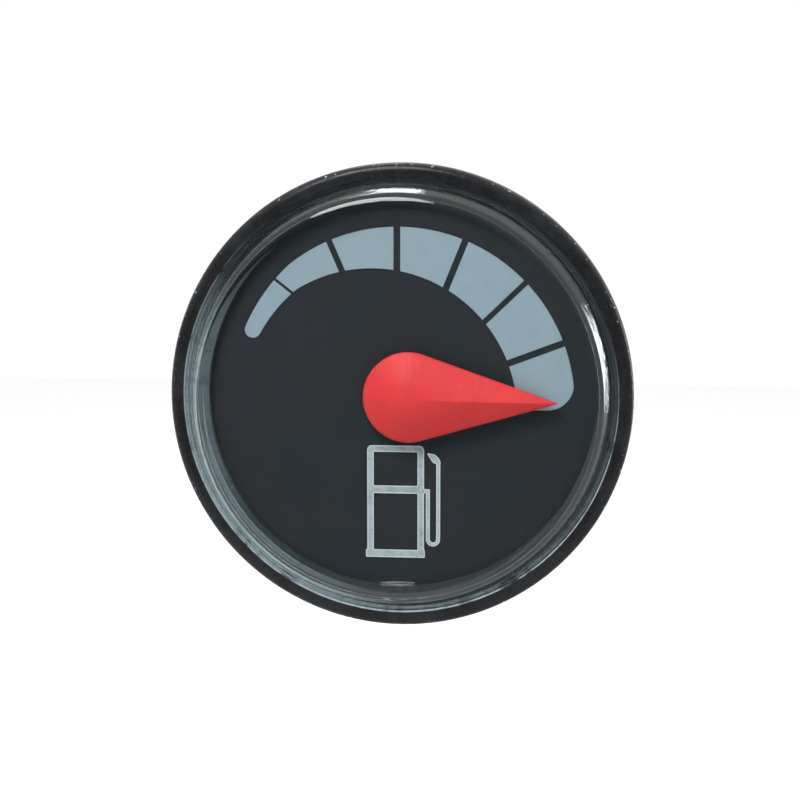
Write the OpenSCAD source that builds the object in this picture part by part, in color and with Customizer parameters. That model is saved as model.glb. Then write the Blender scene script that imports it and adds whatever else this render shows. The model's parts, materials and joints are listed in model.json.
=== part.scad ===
// Round dashboard fuel gauge with a crossed-coil movement
// The dial faces -Y, +Z is up, and the origin is on the gauge's axis in the panel's front plane

/* [Case] */
// Radius of the case's barrel, which passes through the panel's hole
barrel_r = 26; // [25.5:0.5:28]
// Thickness of the drawn steel case
case_wall = 0.8; // [0.6:0.1:1]
// Depth of the case behind the panel's front plane
case_depth = 36; // [35:1:42]
// Outer radius of the rounded corner at the case's back
case_corner_r = 2; // [1.4:0.2:3]
// Width of the flange round the case's mouth
flange_w = 2.3; // [2.1:0.1:3]
// Thickness of the rubber gasket on the panel
gasket_t = 1; // [0.6:0.1:2]

/* [Bezel] */
// Thickness of the rolled bezel's sheet
bezel_t = 0.5; // [0.4:0.1:0.8]
// Radius of the bezel's rounded front edge
bezel_round_r = 1.1; // [0.9:0.1:1.4]
// Reach of the bezel's rear lip behind the flange
bezel_hook = 1.9; // [1.2:0.1:2]

/* [Lens] */
// Thickness of the rubber seal under the lens
seal_t = 0.8; // [0.5:0.1:1.2]
// Thickness of the lens's flange
lens_flange_t = 1.5; // [1:0.1:2]
// Height of the lens above the bezel
lens_rise = 3.9; // [3:0.1:6]
// Thickness of the lens's front
lens_t = 1.5; // [1.2:0.1:2]
// Width of the step from the barrel's radius out to the lens's side wall
lens_step = 1; // [0.6:0.1:1.2]
// Thickness of the lens's side wall
lens_wall = 2.3; // [2.1:0.1:2.6]
// How far the side wall leans in from its foot to its top
lens_lean = 2; // [1:0.1:2.4]
// Radius of the rounded edge of the lens's front
lens_round_r = 0.3; // [0.2:0.1:0.6]

/* [Dial] */
// Thickness of the dial plate
dial_t = 0.8; // [0.5:0.1:1]
// Height of the ring between dial and lens
retainer_t = 1.1; // [0.9:0.1:1.2]
// Width of the ring between dial and lens
retainer_w = 0.8; // [0.6:0.1:1]
// Thickness of the translucent ring behind the dial
diffuser_t = 1.6; // [1.2:0.1:2]
// Inner radius of the translucent ring
diffuser_in_r = 12.8; // [12.4:0.2:13]
// Radius of the dial's centre hole
dial_hole_r = 1.8; // [1.5:0.1:2.4]
// Thickness of the printed fields and symbol
print_t = 0.1; // [0.06:0.01:0.14]

/* [Scale] */
// Radius of the crescent's outer arc
scale_out_r = 22.1; // [21.6:0.1:22.4]
// Radius of the crescent's inner arc
scale_in_r = 18.2; // [18:0.05:18.6]
// Radius of the crescent's rounded corner at full
scale_full_r = 3.3; // [2.5:0.1:4]
// Height of the crescent's lower edge at full, from the dial's centre
scale_full_y = -1.7; // [-3:0.1:-1]
// Radius of the crescent's rounded end at empty
scale_empty_r = 1.02; // [0.9:0.01:1.1]

/* [Pump symbol] */
// Width of the pump's body
pump_w = 7.2; // [6:0.1:8]
// Height of the pump's body
pump_h = 14.3; // [13:0.1:16]
// Width of the symbol's side strokes
pump_stroke = 0.82; // [0.6:0.02:1]
// Width of the symbol's cross strokes
pump_bar = 0.98; // [0.8:0.02:1.2]
// Width of the hose's stroke
hose_stroke = 0.5; // [0.4:0.05:0.6]
// Distance of the pump's top below the dial's centre
pump_drop = 6.4; // [6:0.1:7]

/* [Pointer] */
// Radius of the pointer's round end
pointer_hub_r = 5.7; // [5:0.1:6]
// Distance of the round end's centre from the spindle
pointer_hub_x = 1; // [0:0.1:1.5]
// Length of the pointer from the spindle to its tip
pointer_len = 19.7; // [17:0.1:21]
// Height of the pointer's crown
pointer_h = 3.3; // [3:0.1:3.4]
// Wall of the hollow moulded pointer
pointer_wall = 0.9; // [0.7:0.1:1.1]
// Gap between the dial and the pointer
pointer_gap = 0.9; // [0.5:0.1:1]
// Angle of the pointer at rest, at full, above the horizontal
pointer_rest = -1.6; // [-4:0.1:0]

/* [Movement] */
// Radius of the spindle
spindle_r = 0.4; // [0.35:0.05:0.5]
// Radius of the disc magnet
magnet_r = 4.2; // [3.8:0.1:4.6]
// Thickness of the disc magnet
magnet_t = 2.4; // [2:0.1:3]
// Thickness of the windings
winding_t = 1.8; // [1.4:0.1:2.2]
// Width of each half winding
winding_w = 2.8; // [2.4:0.1:3.2]
// Wall of the coil former round the magnet
core_wall = 1; // [0.8:0.1:1.4]
// Radius of the coil former's bearing towers
tower_r = 1.6; // [1.5:0.1:1.8]
// Outer radius of the bearings
bearing_r = 1; // [0.8:0.05:1.1]
// Length of each bearing
bearing_h = 2; // [1.6:0.1:2.4]
// Thickness of the screening can
shield_t = 0.5; // [0.4:0.1:0.6]
// Thickness of the movement's frame
frame_t = 2.5; // [2:0.1:3]
// Radius of the frame's posts under the dial
post_r = 2.2; // [2:0.1:2.4]
// Radius of the dial's feet
foot_r = 0.9; // [0.7:0.1:1]
// Radius of the counterweight
weight_r = 1.45; // [1.3:0.05:1.6]
// Distance of the counterweight from the spindle
weight_x = 7; // [6.6:0.1:8]
// Width of the arm behind the dial
arm_w = 1.6; // [1.2:0.1:2]
// Thickness of the arm behind the dial
arm_t = 0.4; // [0.3:0.1:0.6]
// Radius of the arm's hub on the spindle
arm_hub_r = 1.5; // [1:0.1:1.6]
// Radius of the stop pins
stop_r = 0.5; // [0.4:0.1:0.7]
// Height of the stop pins
stop_h = 1.4; // [1.1:0.1:1.6]
// Distance of the stop pins from the spindle
stop_x = 4.2; // [3.8:0.1:4.5]
// Radius of the screws that hold the coil former
screw_r = 1; // [0.8:0.1:1.1]
// Length of the screws in the coil former
screw_grip = 5; // [3:0.5:6]
// Height of the screws' heads
screw_head_h = 1.3; // [1:0.1:1.6]
// Radius of the screws' heads
screw_head_r = 1.9; // [1.6:0.1:2.2]
// Radius of the pins from the windings to the board
coil_pin_r = 0.35; // [0.3:0.05:0.4]
// Depth of those pins in the coil former
coil_pin_grip = 5.8; // [4:0.2:6]
// Radius of the small magnet that draws the pointer to empty
zero_r = 1.2; // [1:0.1:1.4]
// Length of that magnet
zero_h = 6; // [5:0.5:8]

/* [Board and terminals] */
// Thickness of the circuit board
board_t = 1.6; // [1:0.2:2]
// Length of the spacers between the case's back and the board
board_gap = 4.2; // [3.6:0.2:5]
// Width of the tab terminals
blade_w = 6.3; // [4.8:0.1:6.6]
// Thickness of the tab terminals
blade_t = 0.8; // [0.5:0.1:1]
// Distance between neighbouring tab terminals
blade_pitch = 7; // [6:0.5:7.5]
// Length of the tab terminals outside their block
blade_out = 8; // [6:0.5:10]
// Thickness of the terminal block outside the case
block_t = 3; // [2:0.5:4]
// Distance of the terminals below the gauge's axis
block_y = 15; // [14.5:0.5:16]

/* [Studs and clamp] */
// Radius of the mounting studs
stud_r = 2; // [1.5:0.5:2]
// Distance of each stud from the gauge's axis
stud_x = 17; // [16.5:0.5:18]
// Length of the studs behind the case
stud_out = 18; // [17:0.5:24]
// Thickest panel that the clamp holds
panel_max = 3; // [2.5:0.5:5]
// Thickness of the clamp's strap
strap_t = 1; // [1:0.2:2]
// Width of the clamp's strap
strap_w = 8; // [8:1:12]
// Gap between the case and the clamp's legs
leg_gap = 0.9; // [0.9:0.1:1.4]
// Gap between the case's back and the clamp's bridge on the thickest panel
bridge_gap = 7; // [5.5:0.5:7]
// Thickness of the spring washers
washer_t = 1; // [0.8:0.1:1.4]
// Width of the spring washers' section
washer_w = 1.6; // [1.2:0.1:2]
// Split in each spring washer
washer_split = 0.6; // [0.4:0.1:1]
// Radius of the knurled thumb nuts
nut_r = 6; // [5:0.5:6.5]
// Height of the knurled thumb nuts
nut_h = 6; // [4:0.5:7]
// Height of the hexagon nuts on the case's back
hex_h = 2.4; // [2:0.2:3.2]

/* [Lamp] */
// Radius of the lamp holder's sleeve
sleeve_r = 6.6; // [6:0.1:6.8]
// Radius of the bulb's metal cap
bulb_cap_r = 4.6; // [4.4:0.1:4.8]
// Radius of the bulb's glass
bulb_r = 4.4; // [4:0.1:4.4]
// Length of the bulb's metal cap
bulb_cap_h = 11.5; // [10:0.5:12]
// Length of the bulb's glass
bulb_h = 18; // [14:0.5:18]
// Radius of the lamp holder's flange
lamp_flange_r = 7.4; // [7.1:0.1:7.6]
// Length of the lamp holder's sleeve inside the case
sleeve_h = 12; // [10:0.5:13]

/* [Clearances] */
// Radial clearance of the spindle in its bearings
bearing_fit = 0.03; // [0.02:0.01:0.08]
// Radial clearance of a nut on its stud
thread_fit = 0.05; // [0.02:0.01:0.1]
// Radial clearance of the lamp holder in the case's back
sleeve_fit = 0.08; // [0.04:0.01:0.1]
// Clearance round a piece that is set in another
seat_fit = 0.1; // [0.05:0.01:0.15]
// Gap between pieces that pass beside each other
free_gap = 0.3; // [0.2:0.05:0.4]

/* [Hidden] */
$fn = 96;
// Number of straight pieces in a rounded edge
arc_steps = 6;

// Heights of the front stack, measured from the panel towards the viewer
bezel_z = gasket_t;
flange_z = bezel_z + bezel_t;
seal_z = flange_z + case_wall;
lens_z = seal_z + seal_t;
lip_z = lens_z + lens_flange_t;
bezel_top_z = lip_z + bezel_t;
lens_top_z = bezel_top_z + lens_rise;
dial_top_z = lens_z - retainer_t;
dial_z = dial_top_z - dial_t;
diffuser_z = dial_z - diffuser_t;
pointer_z = dial_top_z + pointer_gap;

// Radii of the front stack
barrel_in_r = barrel_r - case_wall;
flange_r = barrel_r + flange_w;
bezel_in_r = flange_r + 2 * seat_fit;
bezel_r = bezel_in_r + bezel_t;
lens_foot_r = barrel_r + lens_step;
lens_in_r = lens_foot_r - lens_wall;
dial_r = barrel_in_r - 2 * seat_fit;
// The barrel flares a little where it meets the flange, from the panel's front plane on
neck_r = barrel_r + 0.15;
retainer_r = barrel_in_r - seat_fit;

// Heights behind the panel
back_z = -case_depth;
back_in_z = back_z + case_wall;
board_z = back_in_z + board_gap;
board_top_z = board_z + board_t;

// The coil former, from the magnet outwards
chamber_r = magnet_r + 2 * free_gap;
chamber_h = magnet_t / 2 + free_gap + seat_fit;
core_h = chamber_h + core_wall;
core_w = chamber_r + core_wall;
coil_in_w = core_w + seat_fit;
coil_out_w = coil_in_w + winding_t;
inner_in_h = core_h + seat_fit;
inner_out_h = inner_in_h + winding_t;
outer_in_h = inner_out_h + 2 * seat_fit;
outer_out_h = outer_in_h + winding_t;
winding_x = tower_r + 2 * seat_fit;
winding_end_x = winding_x + winding_w;
bobbin_h = outer_out_h + free_gap;
shield_in_r = norm([winding_end_x, coil_out_w]) + free_gap;
bobbin_r = shield_in_r - seat_fit;
shield_r = shield_in_r + shield_t;
shield_top_z = diffuser_z - 2 * free_gap;
former_top_z = shield_top_z - shield_t - seat_fit;
former_mid_z = former_top_z - bobbin_h;
frame_z = former_mid_z - bobbin_h;
frame_rear_z = frame_z - frame_t;
pin_x = 0.64 * bobbin_r;
// How far pins and leads stand out behind the board
pin_stub = 0.6;
rib_y = (core_w + bobbin_r) / 2;

// The frame and what it stands on
frame_r = barrel_in_r - free_gap;
post_ring_r = frame_r - post_r - 3 * free_gap;
boss_r = stud_r + 1.6;
boss_h = 6;
stud_end_z = frame_z + boss_h - 1.5;
spacer_r = stud_r + 1.4;

// The arm under the dial and its stops
arm_z = shield_top_z + free_gap;
pointer_low = -5.6;
pointer_high = 162.4;
stop_spread = asin((arm_w / 2 + stop_r) / stop_x) + 0.4;

// The lamp, placed so that its flange stays on the flat of the case's back
lamp_margin = 1.6;
lamp_y = barrel_r - lamp_flange_r - lamp_margin;
lamp_top_z = back_z + sleeve_h;
lamp_flange_t = 1.2;
bulb_foot_z = lamp_top_z - bulb_cap_h + 1;
insulator_top_z = back_z + 0.6;
insulator_h = 6;
lamp_bore_r = bulb_cap_r + seat_fit;

// The clamp at rest, tightened on the thickest panel
clamp_z = back_z - bridge_gap;
clamp_rear_z = clamp_z - strap_t;
clamp_in_x = barrel_r + leg_gap;
nut_z = clamp_rear_z - washer_t;
stud_rear_z = back_z - stud_out;

// Turns the gauge's own frame, in which z points at the viewer, to face -Y
module face() {
    rotate([90, 0, 0]) children();
}

function arc(x, y, r, from, to) = [
    for (i = [0:arc_steps])
        let (a = from + (to - from) * i / arc_steps) [x + r * cos(a), y + r * sin(a)]
];

module ring(inner, outer, z, h) {
    translate([0, 0, z]) difference() {
        cylinder(r = outer, h = h);
        translate([0, 0, -1]) cylinder(r = inner, h = h + 2);
    }
}

module at_polar(r, a) {
    rotate([0, 0, a]) translate([r, 0, 0]) children();
}

module both_studs() {
    for (side = [-1, 1]) translate([side * stud_x, 0, 0]) children();
}

module rounded_rect(x0, y0, x1, y1, r) {
    translate([x0 + r, y0]) square([x1 - x0 - 2 * r, y1 - y0]);
    translate([x0, y0 + r]) square([x1 - x0, y1 - y0 - 2 * r]);
    for (x = [x0 + r, x1 - r], y = [y0 + r, y1 - r]) translate([x, y]) circle(r = r);
}

// Rolled ring of C section that grips the flange, the seal and the lens
module bezel_ring() {
    lip_r = lens_foot_r + seat_fit;
    face() color([0.13, 0.13, 0.14]) rotate_extrude() polygon(concat(
        [[bezel_r - bezel_hook - bezel_t, bezel_z], [bezel_r, bezel_z]],
        arc(bezel_r - bezel_round_r, bezel_top_z - bezel_round_r, bezel_round_r, 0, 90),
        [
            [lip_r, bezel_top_z], [lip_r, lip_z], [bezel_in_r, lip_z], [bezel_in_r, flange_z],
            [bezel_r - bezel_hook - bezel_t, flange_z]
        ]
    ));
}

// Clear moulded cap: flange, leaning side wall and flat front
module lens() {
    top_r = lens_foot_r - lens_lean;
    in_top_r = top_r - lens_t;
    in_top_z = lens_top_z - lens_t;
    in_round_r = 0.3;
    face() color([0.8, 0.9, 0.92, 0.3]) rotate_extrude() polygon(concat(
        [[lens_in_r, lens_z], [flange_r, lens_z], [flange_r, lip_z], [lens_foot_r, lip_z]],
        arc(top_r - lens_round_r, lens_top_z - lens_round_r, lens_round_r, 0, 90),
        [[0, lens_top_z], [0, in_top_z]],
        arc(in_top_r - in_round_r, in_top_z - in_round_r, in_round_r, 90, 0)
    ));
}

module lens_seal() {
    face() color([0.35, 0.38, 0.39]) ring(barrel_in_r + free_gap, flange_r - seat_fit, seal_z, seal_t);
}

module dial_retainer() {
    face() color([0.35, 0.38, 0.4]) ring(retainer_r - retainer_w, retainer_r, dial_top_z, retainer_t);
}

module dial_feet(r, z, h) {
    for (a = [45, 225]) at_polar(post_ring_r, a) translate([0, 0, z]) cylinder(r = r, h = h);
}

// Black plate with a hole for the spindle and two feet behind
module dial_plate() {
    foot_h = 4;
    face() color([0.17, 0.18, 0.19]) {
        ring(dial_hole_r, dial_r, dial_z, dial_t);
        dial_feet(foot_r, dial_z - foot_h, foot_h + dial_t / 2);
    }
}

// Centres of the two arcs that bound the crescent
scale_out_c = [-0.42, -1.05];
scale_in_c = [-3.64, -2.32];
// Towards empty both bounds bend in along wider arcs
empty_out_c = [2.2, -1.3];
empty_in_c = [-0.9, -1.9];
empty_out_r = scale_out_r + 1.9;
empty_in_r = scale_in_r + 1.26;
// Each gap in the crescent: where it lies round the dial, which way it runs, and its width
scale_gaps = [
    [17.9, 20.7, 0.86], [42.2, 43.9, 0.7], [67.5, 67.9, 0.85], [91.7, 90, 0.86], [115.4, 113.5, 0.78],
    [137.6, 142, 0.36]
];
// Direction of the crescent's end at empty
scale_empty_a = 156.8;

function along(c, r, a) =
    let (d = [cos(a), sin(a)], t = c * d) t + sqrt(r * r - c * c + t * t);
function mid_r(a) = (along(scale_out_c, scale_out_r, a) + along(scale_in_c, scale_in_r, a)) / 2;
function empty_mid_r(a) = (along(empty_out_c, empty_out_r, a) + along(empty_in_c, empty_in_r, a)) / 2;

module crescent() {
    corner_x = scale_out_c[0] + scale_out_r - scale_full_r - 0.1;
    corner_y = scale_full_y + scale_full_r;
    end_r = empty_mid_r(scale_empty_a);
    end = end_r * [cos(scale_empty_a), sin(scale_empty_a)];
    intersection() {
        difference() {
            intersection() {
                translate(scale_out_c) circle(r = scale_out_r, $fn = 180);
                translate(empty_out_c) circle(r = empty_out_r, $fn = 180);
            }
            intersection() {
                translate(scale_in_c) circle(r = scale_in_r, $fn = 180);
                translate(empty_in_c) circle(r = empty_in_r, $fn = 180);
            }
        }
        union() {
            translate([-dial_r, corner_y]) square([2 * dial_r, dial_r]);
            translate([0, scale_full_y]) square([corner_x, scale_full_r]);
            translate([corner_x, corner_y]) circle(r = scale_full_r);
        }
        polygon([
            end, 2 * end, [-dial_r, 2 * dial_r], [2 * dial_r, 2 * dial_r], [2 * dial_r, -dial_r],
            [0, -dial_r], [0, 0]
        ]);
    }
    translate(end) circle(r = scale_empty_r);
}

// Seven pale fields of the crescent scale
module scale_segments() {
    face() color([0.57, 0.65, 0.7]) translate([0, 0, dial_top_z]) linear_extrude(print_t) difference() {
        crescent();
        for (g = scale_gaps)
            translate(mid_r(g[0]) * [cos(g[0]), sin(g[0])])
                rotate(g[1]) square([scale_out_r, g[2]], center = true);
    }
}

// Outline of a fuel pump with its hose and nozzle, of no maker's design
module pump_symbol() {
    left = -4.31;
    right = left + pump_w;
    top = -pump_drop;
    foot = top - pump_h;
    divider_drop = 5.12;
    divider = top - divider_drop;
    hose_x = right + 0.49;
    hose_far_x = right + 1.8;
    bend_r = (hose_far_x - hose_x) / 2;
    bend_y = foot + 2.4;
    hose_top = top - 2.25;
    joint_y = divider - pump_bar + 0.1;
    half = hose_stroke / 2;
    face() color([0.62, 0.67, 0.69]) translate([0, 0, dial_top_z]) linear_extrude(print_t)
    ink_rounded(0.12) {
        difference() {
            union() {
                rounded_rect(left, foot + 1, right, top, 0.6);
                translate([left, foot]) square([pump_w, 3]);
                translate([left - 0.18, foot]) square([pump_w + 0.3, pump_bar]);
            }
            translate([left + pump_stroke, divider])
                square([pump_w - 2 * pump_stroke, divider_gap(top, divider)]);
            translate([left + pump_stroke, foot + pump_bar])
                square([pump_w - 2 * pump_stroke, divider - pump_bar - foot - pump_bar]);
        }
        translate([right - 0.2, joint_y]) square([hose_x + half - right + 0.2, hose_stroke]);
        translate([hose_x - half, bend_y]) square([hose_stroke, joint_y + hose_stroke - bend_y]);
        translate([hose_far_x - half, bend_y]) square([hose_stroke, hose_top - bend_y]);
        intersection() {
            translate([hose_x + bend_r, bend_y]) difference() {
                circle(r = bend_r + half);
                circle(r = bend_r - half);
            }
            translate([hose_x - 1, bend_y - 3]) square([4, 3.05]);
        }
        polygon([
            [hose_x - 0.2, hose_top + 1.4], [hose_far_x - 0.4, hose_top + 1.16], [hose_far_x + 0.08, hose_top + 0.68],
            [hose_far_x + half + 0.04, hose_top + 0.2], [hose_far_x + half, hose_top - 0.2],
            [hose_far_x - half, hose_top - 0.2], [hose_far_x - half - 0.04, hose_top + 0.02],
            [hose_far_x - 0.65, hose_top + 0.1], [hose_x + 0.22, hose_top + 0.75]
        ]);
    }
}

// Corners of a printed shape, rounded as ink rounds them
module ink_rounded(r) {
    offset(r = r, $fn = 24) offset(r = -1.6 * r, $fn = 24) offset(delta = 0.6 * r) children();
}
function divider_gap(top, divider) = top - pump_stroke - divider;

// Translucent ring behind the dial, with holes for the dial's feet
module light_diffuser() {
    face() color([0.93, 0.93, 0.9]) difference() {
        ring(diffuser_in_r, frame_r, diffuser_z, diffuser_t);
        dial_feet(foot_r + seat_fit, diffuser_z - 1, diffuser_t + 2);
    }
}

module teardrop(inset, drop) {
    crown_r = 3.2;
    tip_r = 0.15;
    tip_inset = inset * pointer_len / pointer_hub_r;
    hull() {
        translate([pointer_hub_x, 0, -drop])
            cylinder(r = pointer_hub_r - inset, h = 0.8 + drop - inset / 2, $fn = 64);
        translate([pointer_hub_x, 0, pointer_h - crown_r - inset]) intersection() {
            sphere(r = crown_r, $fn = 32);
            translate([0, 0, crown_r / 2]) cube([3 * crown_r, 3 * crown_r, crown_r], center = true);
        }
        translate([pointer_len - tip_r - tip_inset, 0, -drop])
            cylinder(r = tip_r, h = 0.5 + drop - inset / 4, $fn = 16);
    }
}

bush_r = 1.4;
bush_h = 2.2;
bush_z = pointer_z - pointer_gap / 3;

// Red hollow moulding that runs from a domed round end to a point
module pointer() {
    face() rotate([0, 0, pointer_rest]) color([0.86, 0.24, 0.23]) difference() {
        translate([0, 0, pointer_z]) union() {
            difference() {
                teardrop(0, 0);
                teardrop(pointer_wall, 1);
            }
            cylinder(r = bush_r + 1, h = pointer_h - pointer_wall / 2);
        }
        translate([0, 0, bush_z - 1]) cylinder(r = bush_r, h = bush_h + 1);
        translate([0, 0, bush_z]) cylinder(r = spindle_r, h = bush_h + 0.4);
    }
}

module pointer_bush() {
    face() color([0.8, 0.65, 0.3]) ring(spindle_r, bush_r, bush_z, bush_h);
}

spindle_z = former_mid_z - core_h - bearing_h - 1.5 + 0.6;

module spindle() {
    face() color([0.75, 0.76, 0.78]) translate([0, 0, spindle_z + 0.1])
        cylinder(r = spindle_r, h = bush_z + bush_h + 0.3 - spindle_z - 0.1);
}

module rotor_magnet() {
    face() color([0.35, 0.35, 0.37]) ring(spindle_r, magnet_r, former_mid_z - magnet_t / 2, magnet_t);
}

// Flat arm behind the dial, opposite the pointer's tip
module balance_arm() {
    hub_h = 3 * arm_t;
    face() rotate([0, 0, pointer_rest + 180]) color([0.7, 0.71, 0.73]) translate([0, 0, arm_z]) difference() {
        union() {
            cylinder(r = arm_hub_r, h = hub_h);
            translate([0, -arm_w / 2, 0]) cube([weight_x, arm_w, arm_t]);
            translate([weight_x, 0, 0]) cylinder(r = weight_r, h = arm_t);
        }
        translate([0, 0, -1]) cylinder(r = spindle_r, h = hub_h + 2);
    }
}

module balance_weight() {
    face() rotate([0, 0, pointer_rest + 180]) color([0.8, 0.65, 0.3])
        translate([weight_x, 0, arm_z + arm_t]) cylinder(r = weight_r, h = dial_z - free_gap - arm_z - arm_t);
}

// Two pins on the screening can that the arm meets at the ends of its travel
module stop_pins() {
    face() color([0.75, 0.76, 0.78])
        for (a = [pointer_low + 180 - stop_spread, pointer_high + 180 + stop_spread])
            at_polar(stop_x, a) translate([0, 0, shield_top_z]) cylinder(r = stop_r, h = stop_h);
}

module front_bearing() {
    face() color([0.8, 0.65, 0.3])
        ring(spindle_r + bearing_fit, bearing_r, former_top_z - bearing_h, bearing_h);
}

// Cup that carries the spindle's rear end
module rear_bearing() {
    cup_z = spindle_z - 0.6;
    face() color([0.8, 0.65, 0.3]) difference() {
        translate([0, 0, cup_z]) cylinder(r = bearing_r, h = bearing_h);
        translate([0, 0, spindle_z]) cylinder(r = spindle_r + bearing_fit, h = bearing_h);
    }
}

// Plan of the coil former's core, its corner posts and the ribs between the half windings
module former_posts() {
    corner = winding_end_x + 2 * seat_fit;
    intersection() {
        circle(r = bobbin_r);
        union() {
            for (x = [-1, 1], y = [-1, 1]) scale([x, y]) translate([corner, corner]) square(bobbin_r);
            for (y = [-1, 1]) scale([1, y]) translate([-tower_r, core_w - 0.5])
                square([2 * tower_r, bobbin_r]);
        }
    }
}

module former_half(front) {
    low = front ? former_mid_z : frame_z;
    difference() {
        union() {
            translate([0, 0, low]) linear_extrude(bobbin_h) {
                former_posts();
                circle(r = tower_r);
            }
            translate([0, 0, front ? former_mid_z : former_mid_z - core_h]) linear_extrude(core_h)
                union() {
                    square(2 * core_w, center = true);
                    former_posts();
                }
        }
        translate([0, 0, former_mid_z - chamber_h]) cylinder(r = chamber_r, h = 2 * chamber_h);
        children();
    }
}

module front_bobbin() {
    face() color([0.85, 0.82, 0.72]) former_half(true) {
        translate([0, 0, former_mid_z]) cylinder(r = spindle_r + free_gap, h = bobbin_h + 1);
        translate([0, 0, former_top_z - bearing_h]) cylinder(r = bearing_r, h = bearing_h + 1);
    }
}

module rear_bobbin() {
    face() color([0.85, 0.82, 0.72]) former_half(false) {
        translate([0, 0, spindle_z - 0.6]) cylinder(r = bearing_r, h = core_h + bearing_h + 2);
        coil_pin_places() translate([0, 0, frame_z - 1])
            cylinder(r = coil_pin_r + seat_fit, h = coil_pin_grip + seat_fit + 1);
        screw_places() translate([0, 0, frame_z - 1])
            cylinder(r = screw_r, h = screw_grip + 4 * seat_fit + 1);
    }
}

// One half of a winding: a rounded loop round the former, beside the spindle
module winding(in_h, out_h) {
    for (side = [-1, 1])
        translate([side * (winding_x + winding_w / 2), 0, former_mid_z])
            rotate([90, 0, 90]) linear_extrude(winding_w, center = true) difference() {
                rounded_rect(-coil_out_w, -out_h, coil_out_w, out_h, 1.2);
                square([2 * coil_in_w, 2 * in_h], center = true);
            }
}

module inner_coil() {
    face() color([0.72, 0.38, 0.2]) winding(inner_in_h, inner_out_h);
}

module outer_coil() {
    face() color([0.72, 0.38, 0.2]) rotate([0, 0, 90]) winding(outer_in_h, outer_out_h);
}

module coil_pin_places() {
    for (x = [-pin_x, pin_x], y = [-pin_x, pin_x]) translate([x, y, 0]) children();
}

module screw_places() {
    for (y = [-rib_y, rib_y]) translate([0, y, 0]) children();
}

module coil_pins() {
    face() color([0.82, 0.8, 0.72])
        coil_pin_places() translate([0, 0, board_z - pin_stub])
            cylinder(r = coil_pin_r, h = frame_z + coil_pin_grip - board_z + pin_stub);
}

// Steel can over the coils, open at the rear
module shield_can() {
    face() color([0.7, 0.72, 0.74]) difference() {
        translate([0, 0, frame_z]) cylinder(r = shield_r, h = shield_top_z - frame_z);
        translate([0, 0, frame_z - 1]) cylinder(r = shield_in_r, h = shield_top_z - shield_t - frame_z + 1);
        translate([0, 0, frame_z]) cylinder(r = tower_r + free_gap, h = shield_top_z - frame_z + 1);
    }
}

zero_a = 202;
zero_x = shield_r + zero_r + 1.7;

module zero_place() {
    at_polar(zero_x, zero_a) translate([0, 0, frame_z - 1]) children();
}

module zero_magnet() {
    face() color([0.35, 0.35, 0.37]) zero_place() cylinder(r = zero_r, h = zero_h);
}

// Moulded base plate with four posts for the dial and two bosses for the studs
module movement_frame() {
    face() color([0.88, 0.88, 0.86]) difference() {
        union() {
            translate([0, 0, frame_rear_z]) cylinder(r = frame_r, h = frame_t);
            for (a = [45:90:315]) at_polar(post_ring_r, a) translate([0, 0, frame_z - 1])
                cylinder(r = post_r, h = diffuser_z - frame_z + 1);
            both_studs() translate([0, 0, frame_z - 1]) cylinder(r = boss_r, h = boss_h + 1);
        }
        both_studs() translate([0, 0, frame_rear_z - 1])
            cylinder(r = stud_r + thread_fit, h = stud_end_z + 0.2 - frame_rear_z + 1);
        dial_feet(foot_r + seat_fit, diffuser_z - 3, 4);
        translate([0, lamp_y, frame_rear_z - 1]) cylinder(r = bulb_cap_r + 2 * free_gap, h = frame_t + 2);
        coil_pin_places() translate([0, 0, frame_rear_z - 1])
            cylinder(r = coil_pin_r + seat_fit, h = frame_t + 2);
        screw_places() translate([0, 0, frame_rear_z - 1]) cylinder(r = screw_r + seat_fit, h = frame_t + 2);
        zero_place() cylinder(r = zero_r + seat_fit, h = zero_h);
    }
}

// Cheese-head screws from behind the frame into the coil former
module movement_screws() {
    screw_slot_w = screw_r / 2;
    face() color([0.75, 0.76, 0.78]) screw_places() difference() {
        union() {
            translate([0, 0, frame_rear_z - screw_head_h]) cylinder(r = screw_head_r, h = screw_head_h);
            translate([0, 0, frame_rear_z - screw_head_h / 2])
                cylinder(r = screw_r, h = screw_head_h / 2 + frame_t + screw_grip);
        }
        translate([-2 * screw_head_r, -screw_slot_w / 2, frame_rear_z - 2 * screw_head_h])
            cube([4 * screw_head_r, screw_slot_w, 1.45 * screw_head_h]);
    }
}

module frame_spacers() {
    face() color([0.75, 0.76, 0.78])
        both_studs() ring(stud_r + seat_fit, spacer_r, board_top_z, frame_rear_z - board_top_z);
}

module board_spacers() {
    face() color([0.75, 0.76, 0.78]) both_studs() ring(stud_r + seat_fit, spacer_r, back_in_z, board_gap);
}

module blade_places() {
    for (i = [-1:1]) translate([i * blade_pitch, -block_y, 0]) children();
}

module blade_slots(z, h) {
    blade_places() translate([0, 0, z + h / 2])
        cube([blade_t + seat_fit, blade_w + seat_fit, h], center = true);
}

resistor_y = -3;
resistor_r = 1.2;
resistor_len = 7;
lead_r = 0.3;
lead_x = resistor_len / 2 + 1.5;

// Round board with holes for terminals, pins, studs and the lamp holder
module circuit_board() {
    face() color([0.45, 0.33, 0.16]) difference() {
        translate([0, 0, board_z]) cylinder(r = frame_r - free_gap, h = board_t);
        both_studs() translate([0, 0, board_z - 1]) cylinder(r = stud_r + seat_fit, h = board_t + 2);
        translate([0, lamp_y, board_z - 1]) cylinder(r = sleeve_r + free_gap, h = board_t + 2);
        coil_pin_places() translate([0, 0, board_z - 1])
            cylinder(r = coil_pin_r + seat_fit / 2, h = board_t + 2);
        blade_slots(board_z - 1, board_t + 2);
        for (x = [-lead_x, lead_x]) translate([x, resistor_y, board_z - 1])
            cylinder(r = lead_r + seat_fit / 2, h = board_t + 2);
    }
}

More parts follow.
